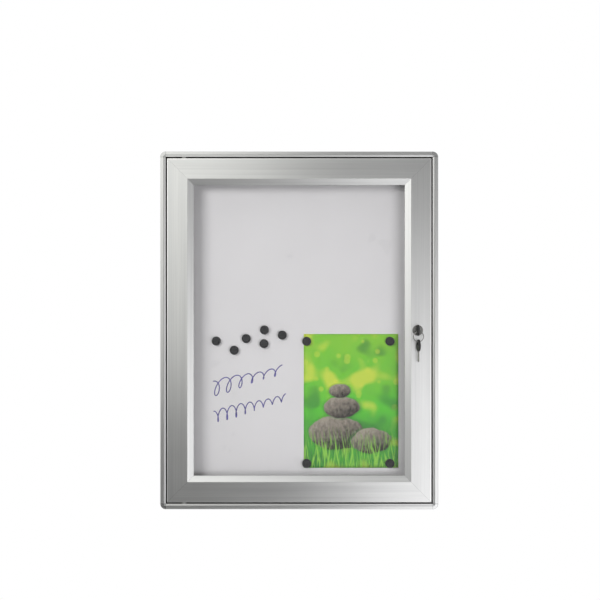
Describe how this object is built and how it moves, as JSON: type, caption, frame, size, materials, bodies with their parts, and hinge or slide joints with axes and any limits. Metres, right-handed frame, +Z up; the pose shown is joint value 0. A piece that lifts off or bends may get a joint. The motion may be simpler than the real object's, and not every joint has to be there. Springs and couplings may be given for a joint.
{
  "type": "notice board",
  "caption": "Wall-hung lockable notice case: glazed aluminium door on inset pivots, white magnetic back panel, cam lock with keys, round magnets and a picture sheet.",
  "frame": {"origin": "middle of the wall plane, at the centre of the four wall-screw holes in the back", "axes": "+X to the viewer's right, +Y into the wall, +Z up; the glazed front faces -Y"},
  "size_m": [0.607, 0.092, 0.781],
  "materials": {
    "anodised_aluminium": "satin anodised, with fine lines along each extrusion",
    "cleat_alloy": "as cast",
    "white_enamel": "smooth white enamel",
    "core_board": "pressed board",
    "galvanised_sheet": "galvanised",
    "zinc_screws": "zinc plated",
    "bush_plastic": "moulded",
    "angle_steel": "zinc plated",
    "buffer_rubber": "matte",
    "gasket_rubber": "matte",
    "printed_paper": "printed picture sheet, soft gloss",
    "magnet_ferrite": "dark graphite, matte",
    "clear_pane": "clear",
    "pin_steel": "turned",
    "lock_chrome": "dark bright plating",
    "cam_steel": "zinc plated",
    "key_plastic": "moulded black",
    "key_nickel": "nickel plated",
    "ring_steel": "hardened steel wire"
  },
  "bodies": {
    "cabinet": {"cabinet_rail_top": "anodised_aluminium", "cabinet_rail_bottom": "anodised_aluminium", "cabinet_rail_left": "anodised_aluminium", "cabinet_rail_right": "anodised_aluminium", "cabinet_corner_top_left": "anodised_aluminium", "cabinet_corner_top_right": "anodised_aluminium", "cabinet_corner_bottom_left": "anodised_aluminium", "cabinet_corner_bottom_right": "anodised_aluminium", "panel_face": "white_enamel", "panel_core": "core_board", "panel_rear_sheet": "galvanised_sheet", "panel_screws": "zinc_screws", "hinge_bush_top": "bush_plastic", "hinge_bush_bottom": "bush_plastic", "strike_plate": "angle_steel", "stop_bracket_top": "angle_steel", "stop_bracket_bottom": "angle_steel", "stop_buffers": "buffer_rubber", "bracket_screws": "zinc_screws", "notice_sheet": "printed_paper"},
    "door": {"door_rail_top": "anodised_aluminium", "door_rail_bottom": "anodised_aluminium", "door_stile_left": "anodised_aluminium", "door_stile_right": "anodised_aluminium", "glazing_bead_top": "anodised_aluminium", "glazing_bead_bottom": "anodised_aluminium", "glazing_bead_left": "anodised_aluminium", "glazing_bead_right": "anodised_aluminium", "pivot_cleats": "cleat_alloy", "corner_cleats": "cleat_alloy", "glazing_gasket": "gasket_rubber", "door_pane": "clear_pane", "pivot_pin_top": "pin_steel", "pivot_pin_bottom": "pin_steel", "lock_housing": "lock_chrome", "lock_nut": "cam_steel"},
    "lock_core": {"lock_plug": "lock_chrome", "lock_cam": "cam_steel", "cam_screw": "zinc_screws"},
    "key": {"key_head": "key_plastic", "key_blade": "key_nickel"},
    "key_ring": {"key_ring": "ring_steel"},
    "spare_key": {"spare_key_head": "key_plastic", "spare_key_blade": "key_nickel"},
    "magnet_1": {"magnet_1": "magnet_ferrite"},
    "magnet_2": {"magnet_2": "magnet_ferrite"},
    "magnet_3": {"magnet_3": "magnet_ferrite"},
    "magnet_4": {"magnet_4": "magnet_ferrite"},
    "magnet_5": {"magnet_5": "magnet_ferrite"},
    "magnet_6": {"magnet_6": "magnet_ferrite"},
    "magnet_7": {"magnet_7": "magnet_ferrite"},
    "magnet_8": {"magnet_8": "magnet_ferrite"},
    "magnet_9": {"magnet_9": "magnet_ferrite"},
    "magnet_10": {"magnet_10": "magnet_ferrite"}
  },
  "joints": [
    {"name": "door_swing", "type": "hinge", "parent": "cabinet", "child": "door", "pos_m": [-0.252, -0.049, 0], "axis": [0, 0, -1], "range_deg": [0, 110]},
    {"name": "plug_turn", "type": "hinge", "parent": "door", "child": "lock_core", "pos_m": [0.2585, -0.05, 0], "axis": [0, -1, 0], "range_deg": [0, 90]},
    {"name": "key_pull", "type": "slide", "parent": "lock_core", "child": "key", "axis": [0, -1, 0], "range_m": [0, 0.026]},
    {"name": "ring_hang", "type": "hinge", "parent": "key", "child": "key_ring", "pos_m": [0.2585, -0.08, -0.0072], "axis": [0, -1, 0], "range_deg": [-90, 0]},
    {"name": "spare_swing", "type": "hinge", "parent": "key_ring", "child": "spare_key", "pos_m": [0.2585, -0.08, -0.02465], "axis": [1, 0, 0], "range_deg": [-12, 12]},
    {"name": "magnet_1_lift", "type": "slide", "parent": "cabinet", "child": "magnet_1", "axis": [0, -1, 0], "range_m": [0, 0.02]},
    {"name": "magnet_2_lift", "type": "slide", "parent": "cabinet", "child": "magnet_2", "axis": [0, -1, 0], "range_m": [0, 0.02]},
    {"name": "magnet_3_lift", "type": "slide", "parent": "cabinet", "child": "magnet_3", "axis": [0, -1, 0], "range_m": [0, 0.02]},
    {"name": "magnet_4_lift", "type": "slide", "parent": "cabinet", "child": "magnet_4", "axis": [0, -1, 0], "range_m": [0, 0.02]},
    {"name": "magnet_5_lift", "type": "slide", "parent": "cabinet", "child": "magnet_5", "axis": [0, -1, 0], "range_m": [0, 0.02]},
    {"name": "magnet_6_lift", "type": "slide", "parent": "cabinet", "child": "magnet_6", "axis": [0, -1, 0], "range_m": [0, 0.02]},
    {"name": "magnet_7_lift", "type": "slide", "parent": "cabinet", "child": "magnet_7", "axis": [0, -1, 0], "range_m": [0, 0.02]},
    {"name": "magnet_8_lift", "type": "slide", "parent": "cabinet", "child": "magnet_8", "axis": [0, -1, 0], "range_m": [0, 0.02]},
    {"name": "magnet_9_lift", "type": "slide", "parent": "cabinet", "child": "magnet_9", "axis": [0, -1, 0], "range_m": [0, 0.02]},
    {"name": "magnet_10_lift", "type": "slide", "parent": "cabinet", "child": "magnet_10", "axis": [0, -1, 0], "range_m": [0, 0.02]}
  ],
  "couplings": [
    {"joint": "ring_hang", "follows": "plug_turn", "ratio": -1}
  ]
}
